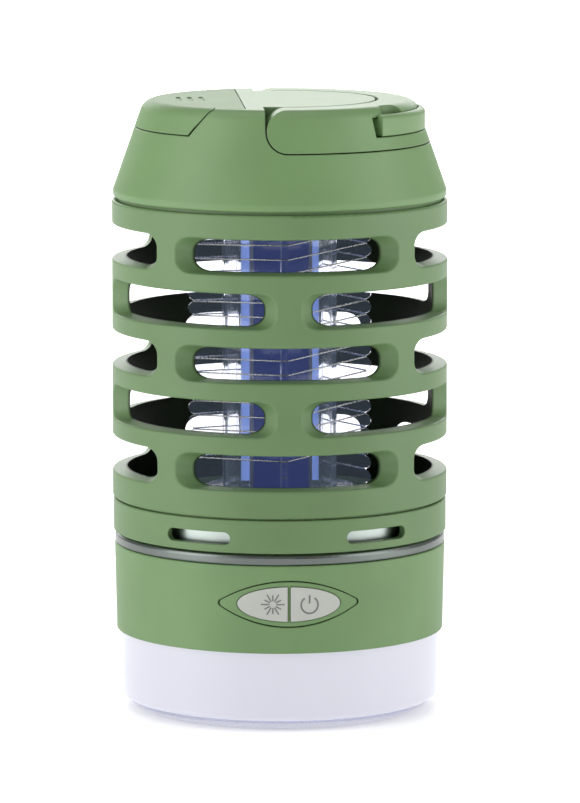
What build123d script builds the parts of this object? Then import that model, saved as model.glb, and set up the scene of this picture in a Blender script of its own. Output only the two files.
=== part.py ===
from build123d import *
import math
import os

# Rechargeable camping bug zapper with a lantern in its base.
# Millimetres, +Z up, origin at the centre of the face it stands on, front towards -Y.

# ---- overall ----
HEIGHT = 164.0           # whole object
BODY_R = 45.0            # cage
WALL = 2.5               # moulded covers
GAP = 0.3                # play between parts that move past each other
SCREW_R = 1.1            # shank of every self-tapping screw
SCREW_HEAD = (1.9, 1.2)  # radius and height of its pan head
SCREW_PLAY = 0.06        # pilot holes over the shank
SCREW_BOSS_R = 2.6
FAR = 60.0               # beyond every part, for cutting tools

# ---- levels of the stack ----
Z_DIFFUSER = 2.8         # seam between base plate and diffuser
Z_HOUSING = 21.3         # seam between diffuser and lower housing
Z_DECK = 44.7            # top of the lower housing
Z_COLLAR = 48.0          # lower edge of the tray collar
Z_CAGE = 56.8            # collar meets cage
Z_HEAD = 137.7           # cage meets head plate
Z_CAP = 138.1            # lower edge of the cap
Z_SHOULDER = 140.0       # the cap starts to taper here

# ---- lower module ----
DIFFUSER_R = (42.4, 42.8)      # at its bottom and top
HOUSING_R = (44.0, 44.5)       # at its bottom and top
HOUSING_BORE = 41.8
SPIGOT_R = (40.2, 41.6)        # diffuser's collar inside the housing
SPIGOT_H = 3.0                 # of the diffuser's collar above the seam
DECK_T = 2.2
DECK_HOLE_R = 11.0             # for the wires to the contact pins
BASE_FOOT_R = 36.4             # flat the object stands on
BASE_RIM_R = 41.4
BASE_FLOOR_T = 2.4
RING_R = 44.4                  # tray flange, the silver ring
TRAY_WALL_R = (39.4, 41.0)
TRAY_TOP = 54.4
TOWER_R = 13.0
TOWER_TOP = 55.3
TOWER_SCREW_X = 15.2
TOWER_FOOT_R = 18.0
CONTACT_R = 3.0                # innermost contact ring
CONTACT_STEP = 2.3             # to the next ring outwards
REFLECTOR_T = 1.5
TRAY_FLOOR_T = 1.4
HOUSING_SCREW_R = 36.0         # circle of the screws up through the reflector
TRAY_SCREW_R = 30.0            # circle of the screws through the tray's floor
LANTERN_BOARD_R = (12.0, 32.0)
LANTERN_BOARD_T = 1.2
LANTERN_LED = (24.5, 27.5, 0.7)    # inner and outer radius, height

# ---- cell and boards ----
CELL_R = 9.2
CELL_LEN = 64.0
CELL_Y = 13.0
CELL_RISE = 10.0               # cell axis over the reflector
BOARD_Z = 24.9                 # underside of the main board
BOARD_TOP = 26.5
POST_X = 17.0                  # the main board's posts
HOLDER_X = 16.0                # slotted holders of the control board
CORE_X = (-16.0, -2.0)         # transformer
CORE_Y = (-20.0, -8.0)
CORE_Z = (26.5, 37.5)
CORE_LEG = 2.5                 # width of the core's outer legs
COIL_R = (1.8, 3.3)
CAPACITOR = (4.5, 12.0, 9.0)   # length in X, in Y and height
PIN_HOLE_R = 1.0
CONTACT_PIN_R = (0.95, 0.6)    # barrel and tip
CONTACT_TIP_Z = 55.9

# ---- keys ----
KEY_Z = 34.55
BEZEL_HALF = (18.9, 5.95)      # half width and half height of the almond
BEZEL_GAP = 0.35               # groove round the bezel
KEYPAD_HALF = (13.55, 4.6)     # half width and half height of the oval
KEY_PROUD = 0.3
KEY_SPLIT = 0.8                # between the two keys, with the bezel's rib in it
KEY_TRAVEL = 0.5
KEY_X = 6.0                    # centre of each key's post
KEY_FLANGE_T = 1.2
BOARD_FACE_Y = -32.6           # front and back face of the control board
BOARD_BACK_Y = -31.0
SWITCH_DEPTH = 3.5
SWITCH_HALF = 3.0
PLUNGER_R = 1.7
PLUNGER_REACH = 1.2            # it stands this far out of the switch
PLUNGER_BORE = 1.6
POST_R = 2.0

# ---- bayonet between tray and collar ----
COLLAR_R = 44.8
COLLAR_BORE = 42.6
LUG_HALF = 7.0                 # degrees
LUG_Z = 51.2                   # underside of the tray's lugs
LUG_T = 1.6
TRAY_LUG_R = 42.2
COLLAR_LUG_R = 41.35
COLLAR_SCREW_R = 39.7
COLLAR_FLANGE = (37.5, 1.8)    # inner radius and thickness
WINDOW_ANGLE = 32.3            # from the front and from the back
WINDOW_LEN = 18.9
WINDOW_H = 3.4
WINDOW_Z = 51.75

# ---- cage ----
CAGE_WALL = 4.0
SLOT_ROWS = 5
SLOT_PITCH = 14.24
SLOT_TOP_Z = 126.2
SLOT_HALF_H = (4.15, 4.75)     # inside and outside of the wall
SLOT_HALF_ANGLE = (36.1, 40.9) # inside and outside of the wall, degrees
SLOT_END_R = 4.0
SLOT_EDGE_R = 0.6
FLANGE_T = 2.6
FLANGE_R = (37.5, 36.0)        # inner radius of the cage's lower and upper flange
CAP_SCREW_R = 38.3

# ---- grid ----
TUBE_R = (14.2, 15.4)
LAMP_R = (10.6, 11.7)
FIN_T = 1.5
NOTCH_R = 22.9                 # floor of the wire notches
BUMP_R = 1.7
GRID_PITCH = 3.85              # one notch to the next up a fin
GRID_BUMPS = 19
GRID_Z = 61.6                  # centre of the lowest bump
WIRE_R = 0.2
WIRE_SEAT = 23.15              # wire centre line in a notch
WIRE_NECK = 0.95               # half of the straight stretch across a fin
BOBBIN_Z = (57.2, 137.7)
BOBBIN_FLANGE_R = (20.0, 28.0) # at the bottom and top
BOBBIN_SCREW_R = 24.5
BOBBIN_FLANGE_T = 2.2
LENS_OUT = 10.2                # outer face of the diode covers
LENS_HALF = 2.6
CORE_HALF = (7.2, 6.8)         # lamp column, half sizes in X and Y
UV_BOARD_T = 1.0
UV_LED_PITCH = 12.6
UV_LED_Z = 66.0                # lowest row

# ---- cap, bail and hook ----
CAP_R = 44.7                   # of its upright band
CAP_TOP_R = 36.3               # of the cone at the top face
CAP_EDGE_R = 3.8
CAVITY_TOP = 150.2
HEAD_T = 1.8                   # head plate
BOSS_R = 25.5                  # round island inside the bail
BAIL_IN_R = 26.4
BAIL_H = 11.0
BAIL_END_R = 5.5
PIN_R = 1.5
PIN_PLAY = 0.06
HOOK_R = (35.2, 38.9)
HOOK_NECK_R = 37.15
HOOK_Z = (7.5, 3.0, 2.0)       # depth below the top: bottom, step, crown
HOOK_ROUND = 1.4
HOOK_FREE = -49.2              # degrees from +X, towards the front
HOOK_NOTCH = -52.5
HOOK_PIVOT = 46.0
HOOK_PIVOT_R = 36.2
HOOK_EYE_R = 2.6
HOOK_PIN_R = 1.0

# ---- port cover ----
FLAP_CHORD = -10.8             # hinge line
FLAP_TOP_R = 32.5
FLAP_HALF_Y = 29.5             # half length of the hinge line
FLAP_T = 2.0
FLAP_SKIRT = 7.0
FLAP_SKIRT_R = 34.0
FLAP_CORNER_X = -25.7
FLAP_SHOULDER_X = -18.9
PORT_Z = HEIGHT - 4.6
PORT_SIZE = (7.3, 8.94, 3.26)

BAIL_Z = HEIGHT - BAIL_END_R
QUARTERS = (0, 90, 180, 270)
DIAGONALS = (45, 135, 225, 315)


# ---- helpers ----
def disc(r, z0, z1, x=0.0, y=0.0):
    """Upright cylinder between two levels."""
    return Pos(x, y, (z0 + z1) / 2) * Cylinder(r, z1 - z0)


def tube(r_out, r_in, z0, z1):
    """Upright ring between two levels."""
    return disc(r_out, z0, z1) - disc(r_in, z0 - 1, z1 + 1)


def block(x0, x1, y0, y1, z0, z1):
    """Box given by its limits."""
    centre = Pos((x0 + x1) / 2, (y0 + y1) / 2, (z0 + z1) / 2)
    return centre * Box(x1 - x0, y1 - y0, z1 - z0)


def rod_y(r, y0, y1, x, z):
    """Cylinder along Y."""
    return Pos(x, (y0 + y1) / 2, z) * Rot(90, 0, 0) * Cylinder(r, y1 - y0)


def polar(r, degrees):
    """X and Y of a point at a radius and angle."""
    return r * math.cos(math.radians(degrees)), r * math.sin(math.radians(degrees))


def turned(shape, degrees):
    """Shape rotated about Z."""
    return Rot(0, 0, degrees) * shape


def around(shape, angles=QUARTERS):
    """Copies of a shape about Z, as a list."""
    return [turned(shape, a) for a in angles]


def spun(points):
    """Solid of revolution of an outline given as (radius, height)."""
    return revolve(make_face(Plane.XZ * Polyline(*points, close=True)), Axis.Z, 360)


def sector(r_out, r_in, z0, z1, a0, a1):
    """Ring piece between two angles in degrees."""
    far = 3 * r_out
    steps = [a0 + (a1 - a0) * i / 4 for i in range(5)]
    wedge = Polyline((0, 0), *[polar(far, a) for a in steps], close=True)
    prism = Pos(0, 0, z0 - 1) * extrude(make_face(wedge), z1 - z0 + 2)
    return tube(r_out, r_in, z0, z1) & prism


def screw(x, y, z_seat, length, up=True):
    """Pan-head screw: the shank leaves the seat upwards or downwards."""
    sense = 1 if up else -1
    shank = Pos(x, y, z_seat + sense * length / 2) * Cylinder(SCREW_R, length)
    head = Pos(x, y, z_seat - sense * SCREW_HEAD[1] / 2) * Cylinder(*SCREW_HEAD)
    recess = Pos(x, y, z_seat - sense * 1.0) * Rot(0, 0, 45)
    cross = recess * (Box(2.2, 0.5, 0.8) + Box(0.5, 2.2, 0.8))
    return shank + head - cross


def pilot(x, y, z0, z1):
    """Hole for a screw's shank."""
    return disc(SCREW_R + SCREW_PLAY, z0, z1, x, y)


def save(name, *solids):
    """Write one node, with one or more separate solids."""
    shape = solids[0] if len(solids) == 1 else Compound(children=list(solids))
    export_step(shape, f"parts/{name}.step")


# ---- lower module ----
def base_plate():
    """Clear plate with a rounded rim and a collar that plugs into the diffuser."""
    plug_top = Z_DIFFUSER + 3.2
    rim = ThreePointArc((BASE_FOOT_R, 0), (39.6, 0.9), (BASE_RIM_R, Z_DIFFUSER))
    top = Polyline((BASE_RIM_R, Z_DIFFUSER), (SPIGOT_R[0], Z_DIFFUSER), (SPIGOT_R[0], plug_top),
                   (38.8, plug_top), (38.0, BASE_FLOOR_T), (0, BASE_FLOOR_T), (0, 0),
                   (BASE_FOOT_R, 0))
    return revolve(make_face(Plane.XZ * Curve(children=[rim, top])), Axis.Z, 360)


def lantern_diffuser():
    """Translucent ring with a rounded lower edge and a collar inside the housing."""
    edge = ThreePointArc((41.5, Z_DIFFUSER), (42.2, 3.2), (DIFFUSER_R[0], 4.2))
    rest = Polyline((DIFFUSER_R[0], 4.2), (DIFFUSER_R[1], Z_HOUSING), (SPIGOT_R[1], Z_HOUSING),
                    (SPIGOT_R[1], Z_HOUSING + SPIGOT_H), (SPIGOT_R[0], Z_HOUSING + SPIGOT_H),
                    (SPIGOT_R[0], Z_DIFFUSER), (41.5, Z_DIFFUSER))
    return revolve(make_face(Plane.XZ * Curve(children=[edge, rest])), Axis.Z, 360)


def housing_cone():
    """Outer surface of the lower housing as a solid, longer than the housing."""
    rise = (HOUSING_R[1] - HOUSING_R[0]) / (Z_DECK - Z_HOUSING)
    low, high = Z_HOUSING - 5, Z_DECK + 5
    r_low = HOUSING_R[0] + rise * (low - Z_HOUSING)
    r_high = HOUSING_R[0] + rise * (high - Z_HOUSING)
    return spun([(0, low), (r_low, low), (r_high, high), (0, high)])


def almond(grow=0.0):
    """Prism along Y with the bezel's eye-shaped outline and softened tips."""
    half_w, half_h = BEZEL_HALF[0] + grow, BEZEL_HALF[1] + grow
    upper = ThreePointArc((-half_w, 0), (0, half_h), (half_w, 0))
    lower = ThreePointArc((half_w, 0), (0, -half_h), (-half_w, 0))
    face = make_face(Curve(children=[upper, lower]))
    face = fillet(face.vertices(), 1.0)
    return Pos(0, 0, KEY_Z) * extrude(Plane.XZ * face, 60)


def keypad_oval(grow=0.0):
    """Prism along Y with the outline of both keys together."""
    oval = Ellipse(KEYPAD_HALF[0] + grow, KEYPAD_HALF[1] + grow)
    return Pos(0, 0, KEY_Z) * extrude(Plane.XZ * oval, 60)


def housing_boss_places():
    """Screw places that tie housing, reflector and diffuser together."""
    return [polar(HOUSING_SCREW_R, a) for a in DIAGONALS]


def tray_screw_places():
    """Screw places that tie the tray to the housing's deck."""
    return [polar(TRAY_SCREW_R, a) for a in DIAGONALS]


def lower_housing():
    """Green shell with a deck, an eye-shaped opening and four bosses."""
    room = disc(HOUSING_BORE, Z_HOUSING - 1, Z_DECK - DECK_T)
    shell = (housing_cone() & disc(FAR, Z_HOUSING, Z_DECK)) - room
    for x, y in housing_boss_places():
        boss = disc(SCREW_BOSS_R, Z_HOUSING + SPIGOT_H, Z_DECK - DECK_T, x, y)
        shell += boss & disc(HOUSING_BORE + 1, 0, Z_DECK)
        shell -= pilot(x, y, Z_HOUSING, Z_HOUSING + 12)
    shell -= disc(DECK_HOLE_R, Z_DECK - 5, Z_DECK + 1)
    for x, y in tray_screw_places():
        shell += disc(SCREW_BOSS_R, Z_DECK - DECK_T - 2, Z_DECK - DECK_T, x, y)
        shell -= pilot(x, y, Z_DECK - DECK_T - 3, Z_DECK + 1)
    for x in (-TOWER_SCREW_X, TOWER_SCREW_X):
        shell -= pilot(x, 0, Z_DECK - DECK_T - 1, Z_DECK + 1)
    shell -= almond(BEZEL_GAP) - disc(30, 0, FAR)
    ledge = edges_at(shell, Z_DECK, HOUSING_R[1])
    return fillet(ledge, 0.4)


def edges_at(shape, z, r):
    """Circular edges of a shape at one height and radius."""
    found = []
    for edge in shape.edges().filter_by(GeomType.CIRCLE):
        centre = edge.arc_center
        on_axis = abs(centre.X) < 0.01 and abs(centre.Y) < 0.01
        if on_axis and abs(centre.Z - z) < 0.01 and abs(edge.radius - r) < 0.01:
            found.append(edge)
    return found


def button_bezel():
    """Eye-shaped frame, flush with the housing and flanged behind its wall."""
    inner = HOUSING_BORE - KEY_FLANGE_T
    front = (housing_cone() & almond()) - disc(HOUSING_BORE, 0, FAR)
    flange = (almond(1.2) & disc(HOUSING_BORE, 0, FAR)) - disc(inner, 0, FAR)
    frame = front + flange - keypad_oval(0.15)
    rib = block(-0.25, 0.25, -50, 0, KEY_Z - 5.5, KEY_Z + 5.5) & housing_cone()
    return frame + (rib - disc(inner, 0, FAR))


def key(side):
    """One half-oval key with a retaining flange and a post; side is -1 or 1."""
    growth = 1 + KEY_PROUD / HOUSING_R[0]
    grown = scale(housing_cone(), (growth, growth, 1))
    back = HOUSING_BORE - KEY_FLANGE_T - GAP
    cap = (keypad_oval() & grown) - disc(back, 0, FAR)
    flange = (keypad_oval(0.9) & disc(back, 0, FAR)) - disc(back - KEY_FLANGE_T, 0, FAR)
    half = block(KEY_SPLIT / 2, 30, -FAR, 0, 0, FAR)
    if side < 0:
        half = block(-30, -KEY_SPLIT / 2, -FAR, 0, 0, FAR)
    face_y = BOARD_FACE_Y - SWITCH_DEPTH - PLUNGER_REACH
    post = rod_y(POST_R, -38.4, face_y, side * KEY_X, KEY_Z)
    return ((cap + flange) & half) + post


def tact_switch(side):
    """Square switch body with a blind bore for its plunger."""
    front = BOARD_FACE_Y - SWITCH_DEPTH
    x = side * KEY_X
    body = block(x - SWITCH_HALF, x + SWITCH_HALF, front, BOARD_FACE_Y,
                 KEY_Z - SWITCH_HALF, KEY_Z + SWITCH_HALF)
    return body - rod_y(PLUNGER_R + 0.1, front - 1, front + PLUNGER_BORE, x, KEY_Z)


def tact_plunger(side):
    """Round plunger pushed by the key's post."""
    front = BOARD_FACE_Y - SWITCH_DEPTH
    inner = front + PLUNGER_BORE - KEY_TRAVEL - 0.1
    return rod_y(PLUNGER_R, front - PLUNGER_REACH, inner, side * KEY_X, KEY_Z)


def reflector():
    """White plate that carries the electronics above and the lantern board below."""
    top = Z_HOUSING + REFLECTOR_T
    plate = disc(SPIGOT_R[0], Z_HOUSING, top)
    for x, y in housing_boss_places():
        plate += disc(SCREW_BOSS_R, top, Z_HOUSING + SPIGOT_H, x, y)
        plate -= pilot(x, y, Z_HOUSING - 1, Z_HOUSING + SPIGOT_H + 1)
    for x in (-POST_X, POST_X):
        for y in (-27, -4):
            plate += disc(POST_R, top, BOARD_Z, x, y)
    for x in (-HOLDER_X, HOLDER_X):
        holder = block(x - 1.5, x + 1.5, BOARD_FACE_Y - 1.4, BOARD_BACK_Y + 0.8, top, 29)
        plate += holder - block(x - 2, x + 2, BOARD_FACE_Y, BOARD_BACK_Y, BOARD_Z, 30)
    return plate


def lantern_board():
    """Ring-shaped board for the lantern light."""
    return tube(LANTERN_BOARD_R[1], LANTERN_BOARD_R[0], Z_HOUSING - LANTERN_BOARD_T, Z_HOUSING)


def lantern_leds():
    """Twelve white light-emitting diodes."""
    inner, outer, height = LANTERN_LED
    seat = Z_HOUSING - LANTERN_BOARD_T
    chip = block(inner, outer, -1.5, 1.5, seat - height, seat)
    return around(chip, range(0, 360, 30))


def battery_cell():
    """Cylindrical lithium cell with a raised positive end."""
    z = Z_HOUSING + REFLECTOR_T + CELL_RISE
    can = Pos(0, CELL_Y, z) * Rot(0, 90, 0) * Cylinder(CELL_R, CELL_LEN)
    nub = Pos(CELL_LEN / 2 + 0.5, CELL_Y, z) * Rot(0, 90, 0) * Cylinder(3.5, 1)
    return fillet(can.edges(), 0.8) + nub


def battery_cradle():
    """Open tray under the cell with an upright wall at each end."""
    floor = Z_HOUSING + REFLECTOR_T
    bed = block(-35, 35, CELL_Y - 8.5, CELL_Y + 8.5, floor, floor + 5)
    bed -= Pos(0, CELL_Y, floor + CELL_RISE) * Rot(0, 90, 0) * Cylinder(CELL_R + 0.05, CELL_LEN + 3)
    for x in (-34.5, 34.5):
        bed += block(x - 0.7, x + 0.7, CELL_Y - 6, CELL_Y + 6, floor, floor + 14)
    return bed & disc(SPIGOT_R[0] - 0.2, floor, floor + 20)


def battery_tabs():
    """Nickel contact strip at each end of the cell."""
    z = Z_HOUSING + REFLECTOR_T
    y0, y1 = CELL_Y - 3, CELL_Y + 3
    left = block(-33.8, -CELL_LEN / 2, y0, y1, z + 5, z + 13)
    right = block(CELL_LEN / 2 + 1, 33.8, y0, y1, z + 5, z + 13)
    return [left, right]


def main_board():
    """Power board on four posts."""
    return block(-20, 20, -30, 0, BOARD_Z, BOARD_TOP)


def control_board():
    """Upright board behind the keys."""
    return block(-18, 18, BOARD_FACE_Y, BOARD_BACK_Y, BOARD_Z, 40.0)


def board_header():
    """Right-angle plug between the two boards."""
    return block(-6, 6, BOARD_BACK_Y, -27.5, BOARD_TOP, 29.0)


def hv_transformer():
    """Ferrite core: square frame with a round leg across its window."""
    window = block(CORE_X[0] + CORE_LEG, CORE_X[1] - CORE_LEG, CORE_Y[0] - 1, CORE_Y[1] + 1,
                   CORE_Z[0] + 2, CORE_Z[1] - 2)
    return block(*CORE_X, *CORE_Y, *CORE_Z) - window + core_axis() * Cylinder(COIL_R[0], 10)


def core_axis():
    """Middle of the core's round leg, along X."""
    return Pos(sum(CORE_X) / 2, sum(CORE_Y) / 2, sum(CORE_Z) / 2) * Rot(0, 90, 0)


def hv_winding():
    """Coil on the core's leg."""
    return core_axis() * Cylinder(COIL_R[1], 8.8) - core_axis() * Cylinder(COIL_R[0], 12)


def hv_capacitors():
    """Three film capacitors in a row."""
    length, width, height = CAPACITOR
    body = fillet(block(0, length, 0, width, 0, height).edges(), 0.5)
    return [Pos(x, -22, BOARD_TOP) * body for x in (2, 8, 14)]


def contact_tower():
    """Post in the middle of the tray that lifts the contact pins to the upper module."""
    tower = disc(TOWER_R, Z_DECK, TOWER_TOP) + disc(TOWER_FOOT_R, Z_DECK, Z_DECK + TRAY_FLOOR_T)
    tower -= disc(TOWER_R - 2, Z_DECK - 1, TOWER_TOP - 4)
    for x in (-TOWER_SCREW_X, TOWER_SCREW_X):
        tower -= pilot(x, 0, Z_DECK - 1, Z_DECK + 1.5)
    for x, y in contact_places():
        tower -= disc(PIN_HOLE_R, TOWER_TOP - 5, TOWER_TOP + 1, x, y)
    return tower


def contact_places():
    """Each sprung pin stands under its own contact ring."""
    return [polar(CONTACT_R + CONTACT_STEP * i, 45 + 90 * i) for i in range(4)]


def contact_pins():
    """Four sprung pins."""
    pins = []
    barrel, tip = CONTACT_PIN_R
    for x, y in contact_places():
        pin = disc(barrel, TOWER_TOP - 6, TOWER_TOP, x, y)
        pins.append(pin + disc(tip, TOWER_TOP, CONTACT_TIP_Z, x, y))
    return pins


def collection_tray():
    """Silver cup: flange, floor, wall and four outward bayonet lugs."""
    hole = TOWER_FOOT_R + 0.1
    flange = tube(RING_R, hole, Z_DECK, Z_COLLAR - GAP)
    flange = fillet(edges_at(flange, Z_DECK, RING_R), 0.7)
    flange = fillet(edges_at(flange, Z_COLLAR - GAP, RING_R), 1.1)
    floor_top = Z_DECK + TRAY_FLOOR_T
    tray = flange - disc(TRAY_WALL_R[0], floor_top, FAR)
    tray += tube(*reversed(TRAY_WALL_R), floor_top, TRAY_TOP)
    lug = sector(TRAY_LUG_R, TRAY_WALL_R[1] - 0.3, LUG_Z, LUG_Z + LUG_T, -LUG_HALF, LUG_HALF)
    for piece in around(lug):
        tray += piece
    for x, y in tray_screw_places():
        tray -= pilot(x, y, Z_DECK - 1, Z_DECK + 3)
    return tray


def seal_ring():
    """Rubber ring round the foot of the tray's wall."""
    return Pos(0, 0, Z_COLLAR + 0.7) * Torus(TRAY_WALL_R[1] + 0.6, 0.6)


def tray_screws():
    """Four screws through the tray floor."""
    return [screw(x, y, Z_DECK + TRAY_FLOOR_T, 5, up=False) for x, y in tray_screw_places()]


def tower_screws():
    """Two screws through the tower's foot."""
    seat = Z_DECK + TRAY_FLOOR_T
    return [screw(s * TOWER_SCREW_X, 0, seat, 3.4, up=False) for s in (-1, 1)]


def housing_screws():
    """Four screws up through the reflector."""
    return [screw(x, y, Z_HOUSING, 10) for x, y in housing_boss_places()]


# ---- upper module ----
def tray_collar():
    """Green ring with four windows, inward lugs and a flange that holds the cage."""
    collar = tube(COLLAR_R, COLLAR_BORE, Z_COLLAR, Z_CAGE)
    rims = edges_at(collar, Z_COLLAR, COLLAR_R) + edges_at(collar, Z_CAGE, COLLAR_R)
    collar = fillet(rims, 0.4)
    collar += tube(COLLAR_BORE + 0.2, COLLAR_FLANGE[0], Z_CAGE - COLLAR_FLANGE[1], Z_CAGE)
    window = extrude(Plane.YZ * SlotOverall(WINDOW_LEN, WINDOW_H), 20)
    window = Pos(COLLAR_R - 5, 0, WINDOW_Z) * window
    for base in (-90, 90):
        for piece in around(window, (base - WINDOW_ANGLE, base + WINDOW_ANGLE)):
            collar -= piece
    low = LUG_Z - GAP - LUG_T
    lug = sector(COLLAR_BORE + 0.2, COLLAR_LUG_R, low, low + LUG_T, -LUG_HALF, LUG_HALF)
    for piece in around(lug):
        collar += piece
    for x, y in collar_screw_places():
        collar -= pilot(x, y, Z_CAGE - 3, Z_CAGE + 1)
        collar -= disc(2.0, Z_CAGE - 3, Z_CAGE - 0.6, x, y)
    return collar


def collar_screw_places():
    """Screws that tie the collar to the cage."""
    return [polar(COLLAR_SCREW_R, 22.5 + a) for a in QUARTERS]


def collar_screws():
    """Four sunk screws."""
    return [screw(x, y, Z_CAGE - 0.6, 2.6) for x, y in collar_screw_places()]


def slot_tool():
    """Cutter for one cage slot centred on +X at height 0, flared and with round ends."""
    r_in, r_out = BODY_R - CAGE_WALL, BODY_R
    near, far = r_in - 3, r_out + 3
    growth = (SLOT_HALF_H[1] - SLOT_HALF_H[0]) / CAGE_WALL
    h_near = SLOT_HALF_H[0] + growth * (near - r_in)
    h_far = SLOT_HALF_H[1] + growth * (far - r_out)
    ring = spun([(near, -h_near), (far, -h_far), (far, h_far), (near, h_near)])
    inner = Vector(*polar(r_in, SLOT_HALF_ANGLE[0]))
    outer = Vector(*polar(r_out, SLOT_HALF_ANGLE[1]))
    start = inner - (outer - inner)
    end = outer + (outer - inner) * 1.2
    outline = Polyline((0, 0), (start.X, start.Y), (end.X, end.Y), (70, end.Y),
                       (70, -end.Y), (end.X, -end.Y), (start.X, -start.Y), close=True)
    tool = ring & (Pos(0, 0, -10) * extrude(make_face(outline), 20))
    corners = [e for e in tool.edges() if abs(e.center().Z) > 3 and abs(e.center().Y) > 20
               and e.length < 15]
    return fillet(corners, SLOT_END_R)


def cage_form():
    """The whole slotted guard with a screw flange at each end."""
    r_in = BODY_R - CAGE_WALL
    low, high = Z_CAGE + 0.4, Z_HEAD - 0.4
    guard = tube(BODY_R, r_in, low, high)
    guard = fillet(edges_at(guard, low, BODY_R) + edges_at(guard, high, BODY_R), 0.7)
    guard += tube(BODY_R - 1.4, r_in, Z_CAGE, low) + tube(BODY_R - 1.6, r_in, high, Z_CAP)
    tool = slot_tool()
    cutters = []
    for row in range(SLOT_ROWS):
        lift = Pos(0, 0, SLOT_TOP_Z - row * SLOT_PITCH)
        for quarter in QUARTERS:
            cutters.append(lift * turned(tool, quarter + 45 * (row % 2)))
    guard -= cutters
    guard = fillet(slot_outer_edges(guard), SLOT_EDGE_R)
    guard += tube(r_in + 0.5, FLANGE_R[0], Z_CAGE, Z_CAGE + FLANGE_T)
    guard += tube(r_in + 0.5, FLANGE_R[1], Z_HEAD - FLANGE_T, Z_HEAD)
    for x, y in collar_screw_places():
        guard -= pilot(x, y, Z_CAGE - 1, Z_CAGE + 2.2)
    for x, y in cap_screw_places():
        guard -= pilot(x, y, Z_HEAD - 4, Z_HEAD + 1)
    return guard


def cage_levels():
    """Levels that part the flanges, bands and posts of the cage, from the foot upwards."""
    levels = [Z_CAGE - 1, Z_CAGE + FLANGE_T]
    for row in reversed(range(SLOT_ROWS)):
        middle = SLOT_TOP_Z - row * SLOT_PITCH
        levels += [middle - SLOT_HALF_H[0], middle + SLOT_HALF_H[0]]
    return levels + [Z_HEAD - FLANGE_T, Z_CAP + 1]


def between(guard, low, high):
    """Solids of the cage between two levels."""
    return (guard & block(-FAR, FAR, -FAR, FAR, low, high)).solids()


def cage_parts():
    """The cage as two flanges, six bands and the posts between the bands."""
    guard, levels = cage_form(), cage_levels()
    spans = list(zip(levels, levels[1:]))
    flanges = between(guard, *spans[0]) + between(guard, *spans[-1])
    bands = [solid for span in spans[1:-1:2] for solid in between(guard, *span)]
    posts = [solid for span in spans[2:-1:2] for solid in between(guard, *span)]
    return flanges, bands, posts


def slot_outer_edges(guard):
    """Edges where the slots meet the outer surface of the cage."""
    found = []
    for edge in guard.edges():
        inside = Z_CAGE + 3 < edge.center().Z < Z_HEAD - 3
        radii = [math.hypot(p.X, p.Y) for p in (edge @ 0, edge @ 0.5, edge @ 1)]
        if inside and min(radii) > BODY_R - 0.01:
            found.append(edge)
    return found


def fin(phase):
    """Radial fin with scalloped edge, in the XZ plane towards +X."""
    outline = Pos((TUBE_R[1] + NOTCH_R) / 2 - 0.2, 97.35) * Rectangle(NOTCH_R - TUBE_R[1] + 0.4, 76.3)
    for i in range(GRID_BUMPS):
        outline += Pos(NOTCH_R, GRID_Z + phase + i * GRID_PITCH) * Circle(BUMP_R)
    plate = extrude(Plane.XZ * outline, FIN_T / 2, both=True)
    return plate & disc(30, BOBBIN_Z[0] + 1, BOBBIN_Z[1] - 1)


def grid_bobbin():
    """Clear tube with four scalloped fins and a flange at each end."""
    z0, z1 = BOBBIN_Z
    bobbin = tube(TUBE_R[1], TUBE_R[0], z0, z1)
    bobbin += tube(BOBBIN_FLANGE_R[0], TUBE_R[0], z0, z0 + BOBBIN_FLANGE_T)
    bobbin += tube(BOBBIN_FLANGE_R[1], TUBE_R[0], z1 - BOBBIN_FLANGE_T, z1)
    bobbin += disc(TUBE_R[0] + 0.2, z0, z0 + 1.2)
    for angle in QUARTERS:
        phase = 0 if angle % 180 == 0 else GRID_PITCH / 2
        bobbin += turned(fin(phase), angle)
    for x, y in bobbin_screw_places():
        bobbin -= pilot(x, y, z1 - 2.0, z1 + 1)
    return bobbin


def bobbin_screw_places():
    """Screws that hang the bobbin from the head plate."""
    return [polar(BOBBIN_SCREW_R, a) for a in DIAGONALS]


def wire_route(start):
    """Corner points of one grid wire: straight chords between notches, from fin to fin."""
    low = GRID_Z + GRID_PITCH / 2 + start * GRID_PITCH
    points = []
    turns = (GRID_BUMPS - 1) * 2 - 2 * start
    for step in range(turns - turns % 4 + 1):
        z = low + step * GRID_PITCH / 2
        angle = math.radians(90 * step)
        out = (math.cos(angle), math.sin(angle))
        along = (-math.sin(angle), math.cos(angle))
        for side in (-WIRE_NECK, WIRE_NECK):
            x = out[0] * WIRE_SEAT + along[0] * side
            y = out[1] * WIRE_SEAT + along[1] * side
            points.append(Vector(x, y, z))
    return points


def grid_wire(start):
    """Round wire through all its notches, made of straight lengths with ball joints."""
    points = wire_route(start)
    pieces = [Pos(*points[0]) * Sphere(WIRE_R)]
    for a, b in zip(points, points[1:]):
        span = b - a
        plane = Plane(origin=(a + b) / 2, z_dir=span)
        pieces.append(plane * Cylinder(WIRE_R, span.length))
        pieces.append(Pos(*b) * Sphere(WIRE_R))
    return pieces[0].fuse(*pieces[1:])


def lamp_tube():
    """Clear sleeve over the lamp column."""
    return tube(LAMP_R[1], LAMP_R[0], BOBBIN_Z[0] + 1.2, BOBBIN_Z[1])


def lamp_core():
    """Square column that carries the two lamp boards."""
    return block(-CORE_HALF[0], CORE_HALF[0], -CORE_HALF[1], CORE_HALF[1],
                 BOBBIN_Z[0] + 1.2, BOBBIN_Z[1])


def uv_board(side):
    """Lamp board on one face of the column."""
    inner = side * CORE_HALF[0]
    outer = side * (CORE_HALF[0] + UV_BOARD_T)
    x0, x1 = sorted((inner, outer))
    return block(x0, x1, -5.5, 5.5, BOBBIN_Z[0] + 2, BOBBIN_Z[1] - 1)


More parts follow.
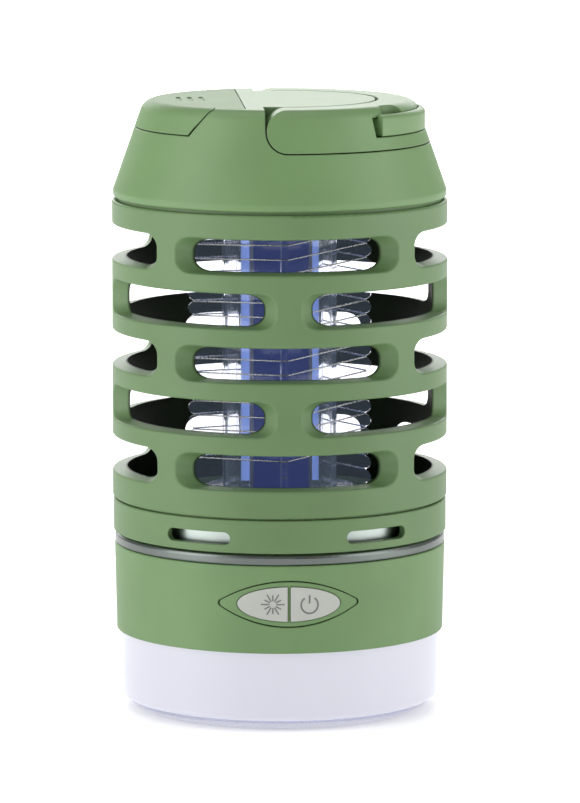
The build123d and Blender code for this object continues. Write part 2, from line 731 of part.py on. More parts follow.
def uv_leds():
    """Six ultraviolet diodes on each lamp board."""
    chips = []
    for side in (-1, 1):
        seat = CORE_HALF[0] + UV_BOARD_T
        x0, x1 = sorted((side * seat, side * (seat + 0.8)))
        for i in range(6):
            z = UV_LED_Z + i * UV_LED_PITCH
            chips.append(block(x0, x1, -1.75, 1.75, z - 1.4, z + 1.4))
    return chips


def uv_lens(side):
    """Frosted cover over one row of ultraviolet diodes, clipped on its board."""
    board = CORE_HALF[0] + UV_BOARD_T
    cover = block(board, LENS_OUT, -LENS_HALF, LENS_HALF, BOBBIN_Z[0] + 4, BOBBIN_Z[1] - 3)
    cover -= block(board - 1, board + 1.1, -1.95, 1.95, BOBBIN_Z[0], BOBBIN_Z[1])
    return turned(cover, 0 if side > 0 else 180)


def contact_board():
    """Disc under the bobbin that carries the contact rings."""
    return disc(12.5, BOBBIN_Z[0] - 0.8, BOBBIN_Z[0])


def contact_rings():
    """Four flat rings, so contact holds while the upper module twists."""
    level = BOBBIN_Z[0] - 0.8
    middles = [CONTACT_R + CONTACT_STEP * i for i in range(4)]
    return [tube(r + 0.9, r - 0.9, level - 0.2, level) for r in middles]


def head_plate():
    """Deck under the cap that carries bobbin and cap."""
    plate = disc(BODY_R - CAGE_WALL - 0.1, Z_HEAD, Z_HEAD + HEAD_T)
    plate -= disc(5.0, Z_HEAD - 1, Z_HEAD + 3)
    for x, y in bobbin_screw_places() + cap_screw_places():
        plate -= pilot(x, y, Z_HEAD - 1, Z_HEAD + 3)
    return plate


def bobbin_screws():
    """Four screws down through the head plate."""
    return [screw(x, y, Z_HEAD + HEAD_T, 3.6, up=False) for x, y in bobbin_screw_places()]


def cap_screw_places():
    """Screws that tie cage, head plate and cap together."""
    return [polar(CAP_SCREW_R, a) for a in DIAGONALS]


def cap_screws():
    """Four long screws up into the cap's bosses."""
    return [screw(x, y, Z_HEAD - FLANGE_T, 11) for x, y in cap_screw_places()]


# ---- cap ----
def cap_form():
    """Outer form of the closed cap: short upright band, cone and rounded top edge."""
    form = spun([(0, Z_CAP), (CAP_R, Z_CAP), (CAP_R, Z_SHOULDER), (CAP_TOP_R, HEIGHT), (0, HEIGHT)])
    form = fillet(edges_at(form, HEIGHT, CAP_TOP_R), CAP_EDGE_R)
    form = fillet(edges_at(form, Z_SHOULDER, CAP_R), 1.2)
    return fillet(edges_at(form, Z_CAP, CAP_R), 0.7)


def flap_space(grow=0.0):
    """Room of the port cover: a plate on top and a skirt down the side."""
    top, under = HEIGHT + 5, HEIGHT - FLAP_T - grow
    half = FLAP_HALF_Y + grow
    lid = disc(FLAP_TOP_R + grow, under, top) & block(-60, FLAP_CHORD + grow, -half, half, 0, 200)
    corner = (FLAP_CORNER_X + grow, HEIGHT - FLAP_SKIRT - grow)
    shoulder = (FLAP_SHOULDER_X + grow, HEIGHT - 0.3)
    curve = Spline(corner, (-21.9 + grow, HEIGHT - 2.6), shoulder, tangents=((0.55, 0.83), (1, 0.25)))
    frame = Polyline(shoulder, (FLAP_SHOULDER_X + grow, top), (-60, top), (-60, corner[1]), corner)
    side = Plane.XZ * make_face(Curve(children=[curve, frame]))
    skirt = extrude(side, 60, both=True)
    skirt -= disc(FLAP_SKIRT_R - grow, HEIGHT - 20, under)
    return lid + skirt


def port_cover():
    """Rubber flap with three sunk grip bars."""
    flap = cap_form() & flap_space()
    for x in (-21, -24, -27):
        flap -= block(x - 0.6, x + 0.6, -6, 6, HEIGHT - 0.3, HEIGHT + 1)
    return flap


def bail_space(grow=0.0, inner=BAIL_IN_R):
    """Room of the bail: half ring towards +X with round ends about the pivot line."""
    top = HEIGHT + 5
    ring = disc(60, HEIGHT - BAIL_H - grow, top) & block(0, 60, -60, 60, 0, 200)
    ends = rod_y(BAIL_END_R + grow, -60, 60, 0, BAIL_Z)
    return (ring + ends) - disc(inner, 100, 200)


def pocket_for_bail():
    """The bail's room with play, square above the pivot line."""
    room = bail_space(GAP + 0.05, BOSS_R)
    room += block(-BAIL_END_R - GAP - 0.05, 1, -60, 60, BAIL_Z, HEIGHT + 5) - disc(BOSS_R, 100, 200)
    return room


def hook_room():
    """Pocket in the bail for the folded hook, its eye and a fingernail."""
    bottom, step = HEIGHT - HOOK_Z[0] - GAP, HEIGHT - HOOK_Z[1] + GAP
    room = sector(60, HOOK_R[0] - GAP, bottom, step, HOOK_NOTCH, HOOK_PIVOT)
    room += sector(60, HOOK_NECK_R - GAP, bottom, HEIGHT + 5, HOOK_NOTCH, HOOK_PIVOT)
    eye = Pos(*polar(HOOK_PIVOT_R, HOOK_PIVOT), 0) * Rot(0, 0, HOOK_PIVOT)
    reach = HOOK_EYE_R + 0.4
    room += eye * disc(reach, bottom, step)
    room += eye * block(0, 12, -reach, reach, bottom, HEIGHT + 5) & disc(60, bottom, step)
    scoop = disc(5.0, HEIGHT - 5, HEIGHT + 5, *polar(38.6, -39.5))
    return room + scoop


def bail_handle():
    """Hanging handle: half ring with blind pivot bores and the hook's pocket."""
    bail = (cap_form() & bail_space()) - hook_room()
    for sense in (-1, 1):
        y0, y1 = sorted((sense * (BAIL_IN_R - 2), sense * 33.3))
        bail -= rod_y(PIN_R + PIN_PLAY, y0, y1, 0, BAIL_Z)
    x, y = polar(HOOK_PIVOT_R, HOOK_PIVOT)
    bail -= disc(HOOK_PIN_R + 0.03, HEIGHT - 10.2, HEIGHT - 1.8, x, y)
    return bail


def hook():
    """Flip-out hook: curved arm with an eye at its rear end."""
    bottom, step, crown = (HEIGHT - depth for depth in HOOK_Z)
    low, high = HOOK_R[1] - HOOK_ROUND, crown - HOOK_ROUND
    bend = HOOK_ROUND * math.sqrt(0.5)
    shoulder = ThreePointArc((HOOK_R[1], high), (low + bend, high + bend), (low, crown))
    outline = Polyline((low, crown), (HOOK_NECK_R, crown), (HOOK_NECK_R, step), (HOOK_R[0], step),
                       (HOOK_R[0], bottom), (HOOK_R[1], bottom), (HOOK_R[1], high))
    ring = revolve(make_face(Plane.XZ * Curve(children=[shoulder, outline])), Axis.Z, 360)
    arm = ring & sector(60, 20, 100, 200, HOOK_FREE, HOOK_PIVOT - 4.5)
    arm += sector(HOOK_R[1], HOOK_R[0], bottom, step, HOOK_PIVOT - 5, HOOK_PIVOT)
    x, y = polar(HOOK_PIVOT_R, HOOK_PIVOT)
    arm += disc(HOOK_EYE_R, bottom, step, x, y)
    return arm - disc(HOOK_PIN_R + PIN_PLAY, 0, 200, x, y)


def hook_pin():
    """Upright pin through the hook's eye."""
    return disc(HOOK_PIN_R, HEIGHT - 10.2, HEIGHT - 1.9, *polar(HOOK_PIVOT_R, HOOK_PIVOT))


def bail_pins():
    """Two short pins from the cap's island into the bail."""
    return [rod_y(PIN_R, *sorted((s * 21.5, s * 33.0)), 0, BAIL_Z) for s in (-1, 1)]


def port_room(grow):
    """Rounded block the size of the charging socket."""
    length, width, height = PORT_SIZE
    face = RectangleRounded(width + 2 * grow, height + 2 * grow, height / 2 - 0.1)
    x_face = -math.sqrt((FLAP_SKIRT_R - GAP) ** 2 - (width / 2) ** 2)
    return Pos(x_face, 0, PORT_Z) * extrude(Plane.YZ * face, length)


def usb_socket():
    """Charging socket: shell, open front and tongue."""
    shell = port_room(0)
    length = PORT_SIZE[0]
    x_face = shell.bounding_box().min.X
    hollow = Pos(x_face - 0.1, 0, PORT_Z) * extrude(
        Plane.YZ * RectangleRounded(8.3, 2.6, 1.2), length - 1.2)
    tongue = block(x_face + 1.2, x_face + length - 0.5, -3.35, 3.35, PORT_Z - 0.35, PORT_Z + 0.35)
    return shell - hollow + tongue


def charge_board():
    """Small board under the charging socket."""
    top = PORT_Z - PORT_SIZE[2] / 2
    return block(-29.5, -12, -9, 9, top - 1.1, top)


def cap_shell():
    """Hollow cap with the bail's pocket, the cover's recess and four screw bosses."""
    shell = cap_form()
    slope = (CAP_R - CAP_TOP_R) / (HEIGHT - Z_SHOULDER)
    r_low = CAP_R - WALL
    r_high = r_low - slope * (CAVITY_TOP - Z_SHOULDER)
    shell -= spun([(0, Z_CAP - 1), (r_low, Z_CAP - 1), (r_low, Z_SHOULDER), (r_high, CAVITY_TOP),
                   (0, CAVITY_TOP)])
    shell -= disc(BOSS_R - 3, CAVITY_TOP - 1, HEIGHT - 5.0)
    left = disc(FLAP_SKIRT_R - GAP - 2.2, CAVITY_TOP - 1, HEIGHT - FLAP_T - GAP - 2.2)
    shell -= left & block(-60, -BAIL_END_R - 3.2, -60, 60, 0, 200)
    shell -= pocket_for_bail()
    shell -= flap_space(GAP)
    shell -= port_room(0.1) + Pos(-3, 0, 0) * port_room(0.25)
    for x, y in cap_screw_places():
        boss = disc(SCREW_BOSS_R, Z_HEAD + HEAD_T, CAVITY_TOP + 0.5, x, y) & cap_form()
        shell += boss - pocket_for_bail()
        shell -= pilot(x, y, Z_HEAD, Z_HEAD + 10)
    shell -= rod_y(PIN_R + 0.02, -40, 40, 0, BAIL_Z)
    return shell


# ---- write every node ----
save("base_plate", base_plate())
save("lantern_diffuser", lantern_diffuser())
save("lower_housing", lower_housing())
save("button_bezel", button_bezel())
save("lantern_reflector", reflector())
save("lantern_board", lantern_board())
save("lantern_leds", *lantern_leds())
save("battery_cell", battery_cell())
save("battery_cradle", battery_cradle())
save("battery_tabs", *battery_tabs())
save("main_board", main_board())
save("control_board", control_board())
save("board_header", board_header())
save("hv_transformer", hv_transformer())
save("hv_winding", hv_winding())
save("hv_capacitors", *hv_capacitors())
save("contact_tower", contact_tower())
save("contact_pins", *contact_pins())
save("collection_tray", collection_tray())
save("seal_ring", seal_ring())
save("tray_screws", *tray_screws())
save("tower_screws", *tower_screws())
save("housing_screws", *housing_screws())
for name, side in (("light", -1), ("power", 1)):
    save(f"{name}_button", key(side))
    save(f"{name}_switch", tact_switch(side))
    save(f"{name}_plunger", tact_plunger(side))

save("tray_collar", tray_collar())
save("collar_screws", *collar_screws())
flanges, bands, posts = cage_parts()
save("cage_flanges", *flanges)
save("cage_rings", *bands)
save("cage_posts", *posts)
save("grid_bobbin", grid_bobbin())
save("grid_wire_a", grid_wire(0))
save("grid_wire_b", grid_wire(1))
save("lamp_tube", lamp_tube())
save("lamp_core", lamp_core())
save("uv_board_left", uv_board(-1))
save("uv_board_right", uv_board(1))
save("uv_leds", *uv_leds())
save("uv_lens_left", uv_lens(-1))
save("uv_lens_right", uv_lens(1))
save("contact_board", contact_board())
save("contact_rings", *contact_rings())
save("head_plate", head_plate())
save("bobbin_screws", *bobbin_screws())
save("cap_screws", *cap_screws())
save("cap_shell", cap_shell())
save("usb_socket", usb_socket())
save("charge_board", charge_board())
save("bail_pins", *bail_pins())

save("port_cover", port_cover())
save("bail_handle", bail_handle())
save("hook_pin", hook_pin())
save("hook", hook())
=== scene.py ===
import math

import bmesh
import bpy
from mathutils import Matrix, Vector


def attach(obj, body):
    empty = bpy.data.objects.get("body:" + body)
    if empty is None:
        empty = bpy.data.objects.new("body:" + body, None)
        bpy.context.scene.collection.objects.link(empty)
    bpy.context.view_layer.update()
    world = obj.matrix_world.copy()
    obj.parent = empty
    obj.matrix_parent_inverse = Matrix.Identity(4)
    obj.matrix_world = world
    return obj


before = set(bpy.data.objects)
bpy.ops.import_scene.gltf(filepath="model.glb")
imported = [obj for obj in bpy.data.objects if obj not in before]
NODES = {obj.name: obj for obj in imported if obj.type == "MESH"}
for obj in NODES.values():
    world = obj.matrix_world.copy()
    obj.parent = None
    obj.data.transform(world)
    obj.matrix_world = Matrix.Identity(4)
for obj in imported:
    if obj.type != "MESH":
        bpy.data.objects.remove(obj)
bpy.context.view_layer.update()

MM = 0.001

# ---- the view: camera angle, distance and framing ----
YAW = math.radians(3.2)          # the front is turned this far from the camera
CAMERA_DISTANCE = 1.535          # from the object's axis, along the floor
CAMERA_HEIGHT = 0.299
AIM_HEIGHT = 0.0822
LENS = 258.0                     # millimetres on a 36 mm sensor
SHIFT_X = 0.0128

# ---- colours, linear ----
GREEN = (0.150, 0.262, 0.105)
# the tray's silver, darkened as painted shade to stand in for dark surroundings in its reflection
SILVER = (0.16, 0.18, 0.17)
KEY_GREY = (0.46, 0.48, 0.44)
ICON_GREY = (0.16, 0.17, 0.16)
CLEAR = (0.93, 0.94, 1.0)

# ---- surfaces: painted shade and painted light, with values fitted to the picture's light and shade ----
GUARD_SHADE = 0.80                # painted shade: the guard is the shell's green darkened to this share
# painted shade: the collar is the shell's green darkened to this share
COLLAR_SHADE = 0.84
GUARD_INNER_SHADE = (0.0411, 0.10)    # radius of the guard's inner face, and its share of the colour there: painted shade inside the guard
TRAY_WALL_LIGHT = (0.0436, 2.6)      # radius of the tray's ring, and how much paler its wall inside it is: painted light
STEP_WIDTH = 0.0006              # over which the colour changes at such a radius
SOFT_EDGE = 0.0005               # radius of a moulding's edges
GRAIN_DEPTH = 0.0001

# ---- stage ----
FLOOR_HALF = 14.0
FLOOR_GLOW = (0.26, 0.95)        # own brightness beside the object and far from it
FLOOR_GLOW_AT = (0.12, 0.9)      # those two distances
SURROUND = 0.34                  # strength of the pale surround
LIGHT_TARGET = (0.0, 0.0, 0.08)
SOFTBOXES = [                    # name, place, size and watts
    ("left_box", (-0.75, -0.30, 0.30), (0.6, 0.9), 4.6),
    ("right_box", (0.75, -0.22, 0.30), (0.6, 0.9), 3.8),
    ("top_box", (-0.15, 0.10, 1.10), (0.8, 0.8), 2.5),
    ("back_box", (0.0, 3.20, 1.15), (3.4, 1.1), 62.0),
]

# ---- key markings, millimetres ----
KEY_Z = 34.55
KEY_R = (44.3, 44.8)             # outer radius of the keys at the two housing levels
HOUSING_Z = (21.3, 44.7)
STROKE_DEPTH = (-0.15, 0.05)     # below and above the keys' face
MARK_W = 0.46
SUN_X = -4.3
SUN_RAYS = 12
SUN_IN = 0.9
SUN_OUT = (3.1, 2.5)             # long and short rays
POWER_X = 5.4
POWER_DROP = 0.2                 # of the ring's centre
POWER_R = 2.25
POWER_START = 125                # degrees, left end of the ring
POWER_SWEEP = 290
POWER_STEPS = 24
POWER_BAR = (0.2, 2.4)


# ---- node helpers ----
def new_material(name):
    """A material with an empty node tree but its output and Principled shader."""
    material = bpy.data.materials.new(name)
    material.use_nodes = True
    nodes = material.node_tree.nodes
    shader = nodes["Principled BSDF"]
    return material, nodes, material.node_tree.links, shader


def coordinates(nodes):
    """Object coordinates, in metres."""
    return nodes.new("ShaderNodeTexCoord").outputs["Object"]


def noise(nodes, links, scale, detail=3.0, stretch=None):
    """Noise at a scale per metre, optionally stretched along axes."""
    place = coordinates(nodes)
    if stretch:
        mapping = nodes.new("ShaderNodeMapping")
        mapping.inputs["Scale"].default_value = stretch
        links.new(place, mapping.inputs["Vector"])
        place = mapping.outputs["Vector"]
    texture = nodes.new("ShaderNodeTexNoise")
    texture.inputs["Scale"].default_value = scale
    texture.inputs["Detail"].default_value = detail
    links.new(place, texture.inputs["Vector"])
    return texture.outputs["Fac"]


def ramp(nodes, links, value, stops):
    """Colour ramp over a value, with stops of (position, colour)."""
    node = nodes.new("ShaderNodeValToRGB")
    elements = node.color_ramp.elements
    while len(elements) < len(stops):
        elements.new(0.5)
    for element, (position, colour) in zip(elements, stops):
        element.position = position
        element.color = (*colour, 1.0)
    links.new(value, node.inputs["Fac"])
    return node.outputs["Color"]


def spread(nodes, links, value, low, high):
    """Maps a value from 0-1 to a range."""
    node = nodes.new("ShaderNodeMapRange")
    node.inputs["To Min"].default_value = low
    node.inputs["To Max"].default_value = high
    links.new(value, node.inputs["Value"])
    return node.outputs["Result"]


def bump(nodes, links, shader, value, strength, distance, normal=None):
    """Small relief from a value, over a given normal."""
    node = nodes.new("ShaderNodeBump")
    if normal:
        links.new(normal, node.inputs["Normal"])
    node.inputs["Strength"].default_value = strength
    node.inputs["Distance"].default_value = distance
    links.new(value, node.inputs["Height"])
    links.new(node.outputs["Normal"], shader.inputs["Normal"])


def tinted(colour, factor):
    """Colour made lighter or darker."""
    return tuple(min(1.0, c * factor) for c in colour)


def inside_factor(nodes, links, radius, factor):
    """1 outside a radius about the object's axis, in metres, and another factor inside it, for painted
    shade or painted light there.
    """
    split = nodes.new("ShaderNodeSeparateXYZ")
    links.new(coordinates(nodes), split.inputs["Vector"])
    flat = nodes.new("ShaderNodeCombineXYZ")
    links.new(split.outputs["X"], flat.inputs["X"])
    links.new(split.outputs["Y"], flat.inputs["Y"])
    length = nodes.new("ShaderNodeVectorMath")
    length.operation = "LENGTH"
    links.new(flat.outputs["Vector"], length.inputs[0])
    span = nodes.new("ShaderNodeMapRange")
    span.inputs["From Min"].default_value = radius
    span.inputs["From Max"].default_value = radius + STEP_WIDTH
    span.inputs["To Min"].default_value = factor
    links.new(length.outputs["Value"], span.inputs["Value"])
    return span.outputs["Result"]


def rounded(nodes, radius):
    """Normal that rounds the sharp edges of a moulding."""
    node = nodes.new("ShaderNodeBevel")
    node.samples = 6
    node.inputs["Radius"].default_value = radius
    return node.outputs["Normal"]


def grainy(name, colour, rough=(0.42, 0.55), grain=2200.0, relief=0.12, tint=0.06, metallic=0.0,
           stretch=None, inside=None, edge=0.0):
    """Moulded or machined surface: slight cloudiness, varied gloss and a fine grain; inside a given
    radius, painted shade or painted light scales its colour and gloss.
    """
    material, nodes, links, shader = new_material(name)
    cloud = noise(nodes, links, 45.0, 4.0)
    stops = [(0.3, tinted(colour, 1 - tint)), (0.7, tinted(colour, 1 + tint))]
    base = ramp(nodes, links, cloud, stops)
    # painted shade or painted light inside the radius: colour and gloss scaled
    if inside:
        factor = inside_factor(nodes, links, *inside)
        shaded = nodes.new("ShaderNodeVectorMath")
        shaded.operation = "SCALE"
        links.new(base, shaded.inputs[0])
        links.new(factor, shaded.inputs["Scale"])
        base = shaded.outputs["Vector"]
        links.new(spread(nodes, links, factor, 0.0, 0.5), shader.inputs["Specular IOR Level"])
    links.new(base, shader.inputs["Base Color"])
    fine = noise(nodes, links, grain, 2.0, stretch)
    links.new(spread(nodes, links, fine, *rough), shader.inputs["Roughness"])
    shader.inputs["Metallic"].default_value = metallic
    normal = rounded(nodes, edge) if edge else None
    bump(nodes, links, shader, fine, relief, GRAIN_DEPTH, normal)
    return material


def clear(name, colour, roughness, ior=1.47, glow=None):
    """Clear moulded plastic with faint flow marks, and, if asked, a faint glow that is painted light.
    """
    material, nodes, links, shader = new_material(name)
    flow = noise(nodes, links, 120.0, 2.0, (1.0, 1.0, 0.15))
    stops = [(0.35, tinted(colour, 0.96)), (0.65, colour)]
    links.new(ramp(nodes, links, flow, stops), shader.inputs["Base Color"])
    links.new(spread(nodes, links, flow, roughness * 0.7, roughness * 1.3), shader.inputs["Roughness"])
    shader.inputs["Transmission Weight"].default_value = 1.0
    shader.inputs["IOR"].default_value = ior
    if glow:
        shader.inputs["Emission Color"].default_value = (*glow[0], 1.0)
        shader.inputs["Emission Strength"].default_value = glow[1]
    return material


def glowing(name, colour, light, strength):
    """Lit plastic whose brightness is slightly uneven."""
    material, nodes, links, shader = new_material(name)
    uneven = noise(nodes, links, 60.0, 2.0)
    shades = [(0.3, tinted(light, 0.85)), (0.7, light)]
    links.new(ramp(nodes, links, uneven, shades), shader.inputs["Emission Color"])
    shader.inputs["Emission Strength"].default_value = strength
    links.new(ramp(nodes, links, uneven, [(0.3, tinted(colour, 0.95)), (0.7, colour)]),
              shader.inputs["Base Color"])
    links.new(spread(nodes, links, uneven, 0.25, 0.4), shader.inputs["Roughness"])
    return material


def lantern_material():
    """Milky lantern plastic with a satin skin, dim grey under an even glow that is painted light."""
    material, nodes, links, shader = new_material("lantern_white")
    milk = noise(nodes, links, 30.0, 2.0)
    # dim grey base colour; the painted glow below makes the shell pale
    stops = [(0.3, (0.30, 0.30, 0.36)), (0.7, (0.32, 0.32, 0.38))]
    links.new(ramp(nodes, links, milk, stops), shader.inputs["Base Color"])
    fine = noise(nodes, links, 1800.0, 2.0)
    links.new(spread(nodes, links, fine, 0.3, 0.4), shader.inputs["Roughness"])
    shader.inputs["Subsurface Weight"].default_value = 0.4
    shader.inputs["Subsurface Radius"].default_value = (0.004, 0.004, 0.005)
    shader.inputs["Subsurface Scale"].default_value = 1.0
    # painted light: an even glow gives the milky shell its brightness
    shader.inputs["Emission Color"].default_value = (0.93, 0.94, 1.0, 1.0)
    shader.inputs["Emission Strength"].default_value = 0.42
    bump(nodes, links, shader, fine, 0.05, 0.00005)
    return material


def board_material(name, colour):
    """Circuit board: solder mask with paler tracks."""
    material, nodes, links, shader = new_material(name)
    tracks = nodes.new("ShaderNodeTexBrick")
    tracks.inputs["Scale"].default_value = 220.0
    tracks.inputs["Color1"].default_value = (*colour, 1.0)
    tracks.inputs["Color2"].default_value = (*tinted(colour, 0.85), 1.0)
    tracks.inputs["Mortar"].default_value = (*tinted(colour, 1.5), 1.0)
    tracks.inputs["Mortar Size"].default_value = 0.03
    links.new(coordinates(nodes), tracks.inputs["Vector"])
    links.new(tracks.outputs["Color"], shader.inputs["Base Color"])
    fine = noise(nodes, links, 900.0)
    links.new(spread(nodes, links, fine, 0.3, 0.45), shader.inputs["Roughness"])
    return material


# ---- materials of the CAD nodes ----
def dress(names, material):
    """Gives nodes one material."""
    for name in names:
        slots = NODES[name].data.materials
        slots.clear()
        slots.append(material)


def dress_cad():
    """Every CAD node gets its material."""
    green = grainy("green_shell", GREEN, edge=SOFT_EDGE)
    dress(["lower_housing", "cap_shell", "bail_handle", "hook", "button_bezel"], green)
    # painted shade: the collar is a darker copy of the shell's green
    dress(["tray_collar"], grainy("green_collar", tinted(GREEN, COLLAR_SHADE), edge=SOFT_EDGE))
    # painted shade: inside its inner face the guard keeps a tenth of its colour and less gloss
    # painted shade: the guard is a darker copy of the shell's green
    dress(["cage_flanges", "cage_rings", "cage_posts"],
          grainy("green_cage", tinted(GREEN, GUARD_SHADE), inside=GUARD_INNER_SHADE))
    dress(["port_cover"],
          grainy("green_rubber", GREEN, rough=(0.5, 0.65), grain=1500.0, edge=SOFT_EDGE))
    # painted light: the tray's wall inside the ring is made 2.6 times paler and glossier
    dress(["collection_tray"], grainy("silver_tray", SILVER, (0.26, 0.36), 900.0, 0.04, 0.03, 1.0,
                                      (1.0, 1.0, 14.0), TRAY_WALL_LIGHT))
    dress(["lantern_diffuser"], lantern_material())
    # painted light: the clear base glows faintly lavender
    dress(["base_plate"], clear("clear_base", (0.66, 0.67, 0.78), 0.22,
                                glow=((0.70, 0.72, 0.88), 0.08)))
    # painted light: the clear grid glows faintly blue
    dress(["grid_bobbin"],
          clear("clear_grid", tinted(CLEAR, 0.93), 0.05, 1.25, ((0.35, 0.45, 0.62), 0.035)))
    dress(["lamp_tube"], clear("clear_tube", CLEAR, 0.04, 1.12))
    dress(["light_button", "power_button"], grainy("key_grey", KEY_GREY, (0.45, 0.6), 2600.0, 0.2))
    dress(["lamp_core"], glowing("lamp_blue", (0.008, 0.015, 0.09), (0.02, 0.06, 0.50), 0.17))
    dress(["uv_leds"], glowing("uv_diode", (0.5, 0.6, 1.0), (0.35, 0.45, 1.0), 4.0))
    dress(["uv_lens_left", "uv_lens_right"],
          glowing("uv_cover", (0.30, 0.42, 0.80), (0.30, 0.46, 1.0), 0.50))
    dress(["lantern_leds"], glowing("white_diode", (1.0, 0.95, 0.8), (1.0, 0.96, 0.85), 1.0))
    steel = grainy("steel", (0.60, 0.60, 0.62), (0.2, 0.35), 1500.0, 0.05, 0.03, 1.0)
    dress(["grid_wire_a", "grid_wire_b", "tray_screws", "tower_screws", "housing_screws",
           "collar_screws", "bobbin_screws", "cap_screws", "bail_pins", "hook_pin", "usb_socket",
           "battery_tabs"], steel)
    dress(["contact_pins", "contact_rings"],
          grainy("brass", (0.75, 0.55, 0.24), (0.2, 0.35), 1500.0, 0.05, 0.03, 1.0))
    dress(["hv_winding"], grainy("copper", (0.65, 0.28, 0.14), (0.25, 0.4), 1500.0, 0.4, 0.08, 0.9,
                                 (12.0, 1.0, 1.0)))
    dress(["main_board", "control_board", "contact_board", "charge_board"],
          board_material("board_green", (0.02, 0.14, 0.05)))
    dress(["lantern_board", "uv_board_left", "uv_board_right"],
          board_material("board_white", (0.55, 0.57, 0.62)))
    black = grainy("black_plastic", (0.018, 0.018, 0.02), (0.4, 0.55))
    dress(["battery_cradle", "board_header", "contact_tower", "light_switch", "power_switch",
           "head_plate"], black)
    dress(["seal_ring"], grainy("black_rubber", (0.02, 0.02, 0.02), (0.6, 0.75)))
    dress(["lantern_reflector", "light_plunger", "power_plunger"],
          grainy("white_plastic", (0.78, 0.78, 0.76), (0.45, 0.6)))
    dress(["hv_transformer"], grainy("ferrite", (0.03, 0.03, 0.032), (0.5, 0.7), 3000.0, 0.3))
    dress(["hv_capacitors"], grainy("film_red", (0.30, 0.02, 0.015), (0.2, 0.3)))
    dress(["battery_cell"], grainy("cell_wrap", (0.02, 0.10, 0.30), (0.2, 0.3)))


# ---- key markings ----
def key_point(x, z, lift):
    """Point on the keys' curved face, lifted outwards, in metres."""
    along = (z - HOUSING_Z[0]) / (HOUSING_Z[1] - HOUSING_Z[0])
    radius = KEY_R[0] + along * (KEY_R[1] - KEY_R[0]) + lift
    return (x * MM, -math.sqrt(radius * radius - x * x) * MM, z * MM)


def add_stroke(mesh, points, width):
    """Thin raised ribbon along flat points (x, z), wrapped onto the keys' face."""
    rails = []
    for i, (x, z) in enumerate(points):
        before = points[max(i - 1, 0)]
        after = points[min(i + 1, len(points) - 1)]
        dx, dz = after[0] - before[0], after[1] - before[1]
        norm = math.hypot(dx, dz)
        nx, nz = -dz / norm * width / 2, dx / norm * width / 2
        corners = [(x + nx, z + nz, STROKE_DEPTH[0]), (x + nx, z + nz, STROKE_DEPTH[1]),
                   (x - nx, z - nz, STROKE_DEPTH[1]), (x - nx, z - nz, STROKE_DEPTH[0])]
        rails.append([mesh.verts.new(key_point(*corner)) for corner in corners])
    for a, b in zip(rails, rails[1:]):
        for k in range(4):
            mesh.faces.new((a[k], a[(k + 1) % 4], b[(k + 1) % 4], b[k]))
    mesh.faces.new(rails[0][::-1])
    mesh.faces.new(rails[-1])


def add_marking(name, body, strokes, material):
    """One key's marking, made of strokes of (points, width)."""
    build = bmesh.new()
    for points, width in strokes:
        add_stroke(build, points, width)
    bmesh.ops.recalc_face_normals(build, faces=build.faces)
    mesh = bpy.data.meshes.new(name)
    build.to_mesh(mesh)
    build.free()
    marking = bpy.data.objects.new(name, mesh)
    bpy.context.scene.collection.objects.link(marking)
    mesh.materials.append(material)
    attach(marking, body)


def add_markings():
    """Sunburst on the lantern key and the usual power sign on the other."""
    ink = grainy("marking", ICON_GREY, (0.5, 0.65))
    rays = []
    for i in range(SUN_RAYS):
        angle = math.radians(360 / SUN_RAYS * i)
        reach = SUN_OUT[i % 2]
        start = (SUN_X + SUN_IN * math.cos(angle), KEY_Z + SUN_IN * math.sin(angle))
        end = (SUN_X + reach * math.cos(angle), KEY_Z + reach * math.sin(angle))
        rays.append(([start, end], MARK_W * 0.8))
    add_marking("sun_marking", "light_key", rays, ink)
    ring = []
    for i in range(POWER_STEPS + 1):
        angle = math.radians(POWER_START + POWER_SWEEP * i / POWER_STEPS)
        ring.append((POWER_X + POWER_R * math.cos(angle),
                     KEY_Z - POWER_DROP + POWER_R * math.sin(angle)))
    bar = [(POWER_X, KEY_Z + POWER_BAR[0]), (POWER_X, KEY_Z + POWER_BAR[1])]
    add_marking("power_marking", "power_key", [(ring, MARK_W), (bar, MARK_W)], ink)


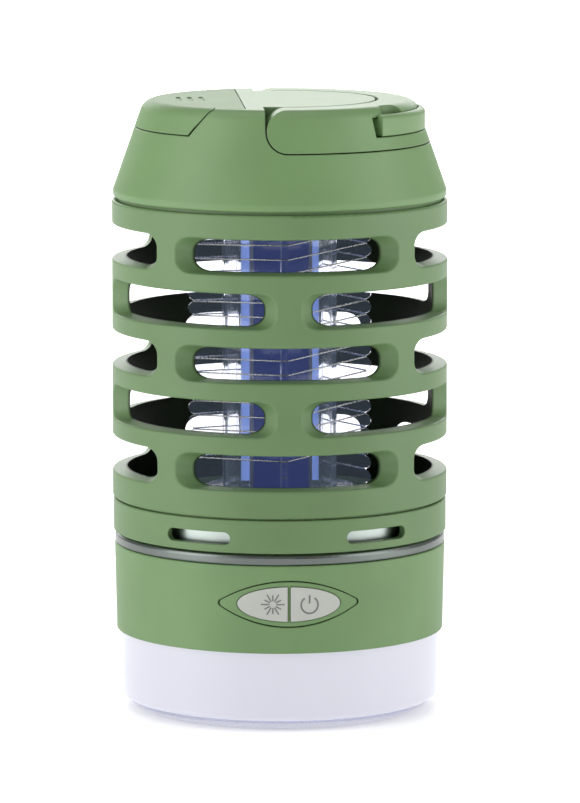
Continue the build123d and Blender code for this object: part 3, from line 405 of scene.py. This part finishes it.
# ---- stage ----
def floor_material():
    """Pale floor with the faintest mottle, and a glow that grows away from the object."""
    material, nodes, links, shader = new_material("floor")
    mottle = noise(nodes, links, 3.0, 2.0)
    stops = [(0.3, (0.94, 0.94, 0.945)), (0.7, (0.96, 0.96, 0.96))]
    links.new(ramp(nodes, links, mottle, stops), shader.inputs["Base Color"])
    links.new(spread(nodes, links, mottle, 0.6, 0.7), shader.inputs["Roughness"])
    shader.inputs["Emission Color"].default_value = (1.0, 1.0, 1.0, 1.0)
    away = nodes.new("ShaderNodeVectorMath")
    away.operation = "LENGTH"
    links.new(coordinates(nodes), away.inputs[0])
    glow = nodes.new("ShaderNodeMapRange")
    glow.inputs["From Min"].default_value = FLOOR_GLOW_AT[0]
    glow.inputs["From Max"].default_value = FLOOR_GLOW_AT[1]
    glow.inputs["To Min"].default_value = FLOOR_GLOW[0]
    glow.inputs["To Max"].default_value = FLOOR_GLOW[1]
    links.new(away.outputs["Value"], glow.inputs["Value"])
    links.new(glow.outputs["Result"], shader.inputs["Emission Strength"])
    return material


def add_floor():
    """Large flat floor."""
    mesh = bpy.data.meshes.new("floor")
    half = FLOOR_HALF
    corners = [(-half, -half, 0), (half, -half, 0), (half, half, 0), (-half, half, 0)]
    mesh.from_pydata(corners, [], [(0, 1, 2, 3)])
    floor = bpy.data.objects.new("floor", mesh)
    bpy.context.scene.collection.objects.link(floor)
    floor.data.materials.append(floor_material())


def add_softbox(name, place, size, watts):
    """White rectangular area light aimed at the object."""
    light = bpy.data.lights.new(name, "AREA")
    light.shape = "RECTANGLE"
    light.size, light.size_y = size
    light.energy = watts
    lamp = bpy.data.objects.new(name, light)
    lamp.location = place
    aim = Vector(LIGHT_TARGET) - Vector(place)
    lamp.rotation_euler = aim.to_track_quat("-Z", "Y").to_euler()
    bpy.context.scene.collection.objects.link(lamp)


def add_light():
    """Soft studio light: a box at each side, one above, one behind and a pale surround."""
    for name, place, size, watts in SOFTBOXES:
        add_softbox(name, place, size, watts)
    world = bpy.data.worlds.new("surround")
    world.use_nodes = True
    background = world.node_tree.nodes["Background"]
    background.inputs["Color"].default_value = (1.0, 1.0, 1.0, 1.0)
    background.inputs["Strength"].default_value = SURROUND
    bpy.context.scene.world = world


def add_camera():
    """Camera at the photograph's angle."""
    camera = bpy.data.cameras.new("camera")
    camera.lens = LENS
    camera.shift_x = SHIFT_X
    eye = bpy.data.objects.new("camera", camera)
    place = Vector((-CAMERA_DISTANCE * math.sin(YAW), -CAMERA_DISTANCE * math.cos(YAW),
                    CAMERA_HEIGHT))
    eye.location = place
    aim = Vector((0, 0, AIM_HEIGHT)) - place
    eye.rotation_euler = aim.to_track_quat("-Z", "Y").to_euler()
    bpy.context.scene.collection.objects.link(eye)
    bpy.context.scene.camera = eye


add_camera()
add_light()
add_floor()
dress_cad()
add_markings()
bpy.context.scene.view_settings.view_transform = "Standard"
